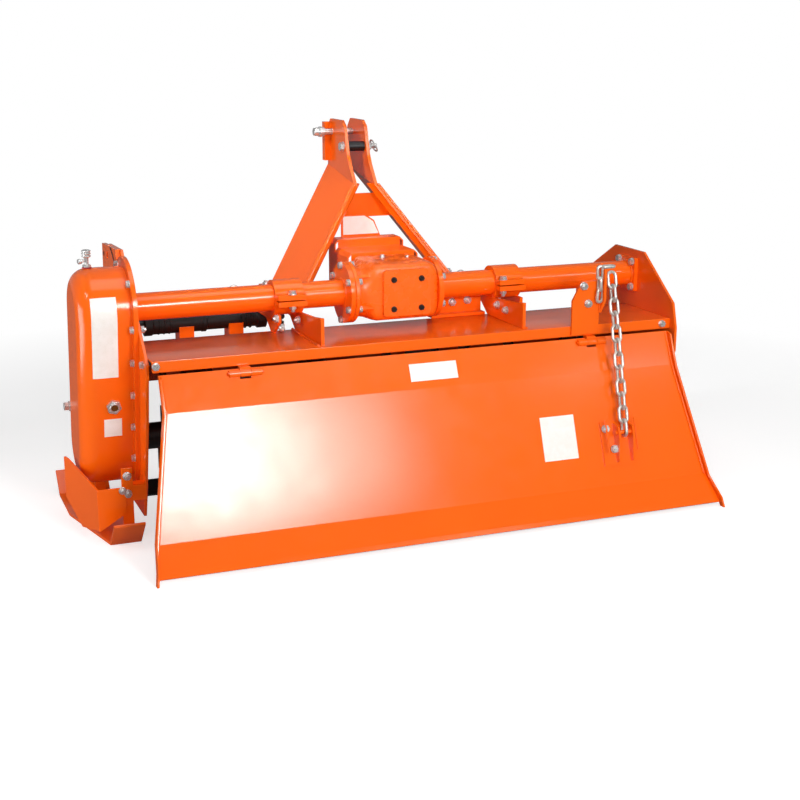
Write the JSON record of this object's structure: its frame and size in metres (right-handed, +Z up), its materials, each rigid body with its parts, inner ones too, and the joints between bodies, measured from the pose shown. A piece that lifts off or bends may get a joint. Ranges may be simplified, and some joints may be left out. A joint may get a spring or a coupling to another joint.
{
  "type": "rotary tiller",
  "caption": "Tractor-mounted rotary tiller: side gear drive, tined rotor under a sheet hood, hinged tail board on a chain, three-point mast.",
  "frame": {"origin": "on the floor under the centre of the bounding box", "axes": "+X to the right seen from behind, +Y towards the tractor, +Z up"},
  "size_m": [1.8689, 0.9971, 1.088],
  "materials": {
    "orange_paint": "gloss orange enamel on sheet steel",
    "orange_cast": "gloss orange enamel on cast iron",
    "tine_steel": "black painted forged steel",
    "zinc_chain": "zinc plated chain",
    "zinc_steel": "zinc plated turned steel",
    "black_steel": "black painted steel",
    "bright_steel": "machined steel, oiled",
    "black_plastic": "black moulded guard tube"
  },
  "bodies": {
    "frame": {"brace": "orange_paint", "breather": "zinc_steel", "case_guard": "orange_paint", "chain_bracket": "orange_paint", "clamp_left": "orange_paint", "clamp_right": "orange_paint", "driveline": "black_plastic", "driveline_cradles": "orange_paint", "driveline_yoke_left": "black_steel", "driveline_yoke_right": "black_steel", "gear_case": "orange_paint", "gear_case_back": "orange_paint", "gearbox": "orange_cast", "gearbox_cover": "orange_cast", "hinge_left": "orange_paint", "hinge_right": "orange_paint", "hitch_left": "orange_paint", "hitch_right": "orange_paint", "hood": "orange_paint", "level_plug": "zinc_steel", "lower_pin_left": "zinc_steel", "lower_pin_right": "zinc_steel", "main_tube_left": "orange_paint", "main_tube_right": "orange_paint", "mast_cross": "orange_paint", "mast_leg_left": "orange_paint", "mast_leg_right": "orange_paint", "mast_spacer": "black_steel", "pto_shield": "orange_paint", "rotor_hub": "orange_paint", "side_plate_left": "orange_paint", "side_plate_right": "orange_paint", "skid_bar_left_front": "orange_paint", "skid_bar_left_rear": "orange_paint", "skid_bar_right_front": "orange_paint", "skid_bar_right_rear": "orange_paint", "skid_left": "orange_paint", "skid_right": "orange_paint", "top_pin": "zinc_steel"},
    "rotor": {"rotor": "tine_steel"},
    "input_shaft": {"input_shaft": "bright_steel"},
    "tail_board": {"tail_board": "orange_paint", "tail_bracket": "orange_paint", "tail_rib_left": "orange_paint", "tail_rib_right": "orange_paint"},
    "chain": {"chain": "zinc_chain"}
  },
  "joints": [
    {"name": "input_spin", "type": "hinge", "parent": "frame", "child": "input_shaft", "pos_m": [0.0395, 0.183, 0.624], "axis": [0, 1, 0], "continuous": true},
    {"name": "rotor_spin", "type": "hinge", "parent": "frame", "child": "rotor", "pos_m": [0.0395, 0.068, 0.235], "axis": [-1, 0, 0], "continuous": true},
    {"name": "tail_board_lift", "type": "hinge", "parent": "frame", "child": "tail_board", "pos_m": [0.0395, -0.266, 0.478], "axis": [-1, 0, 0], "range_deg": [0, 60]},
    {"name": "chain_swing", "type": "hinge", "parent": "tail_board", "child": "chain", "pos_m": [0.5955, -0.388, 0.232], "axis": [-1, 0, 0], "range_deg": [-20, 0]}
  ],
  "couplings": [
    {"joint": "input_spin", "follows": "rotor_spin", "ratio": 2.63},
    {"joint": "chain_swing", "follows": "tail_board_lift", "ratio": -0.32}
  ]
}
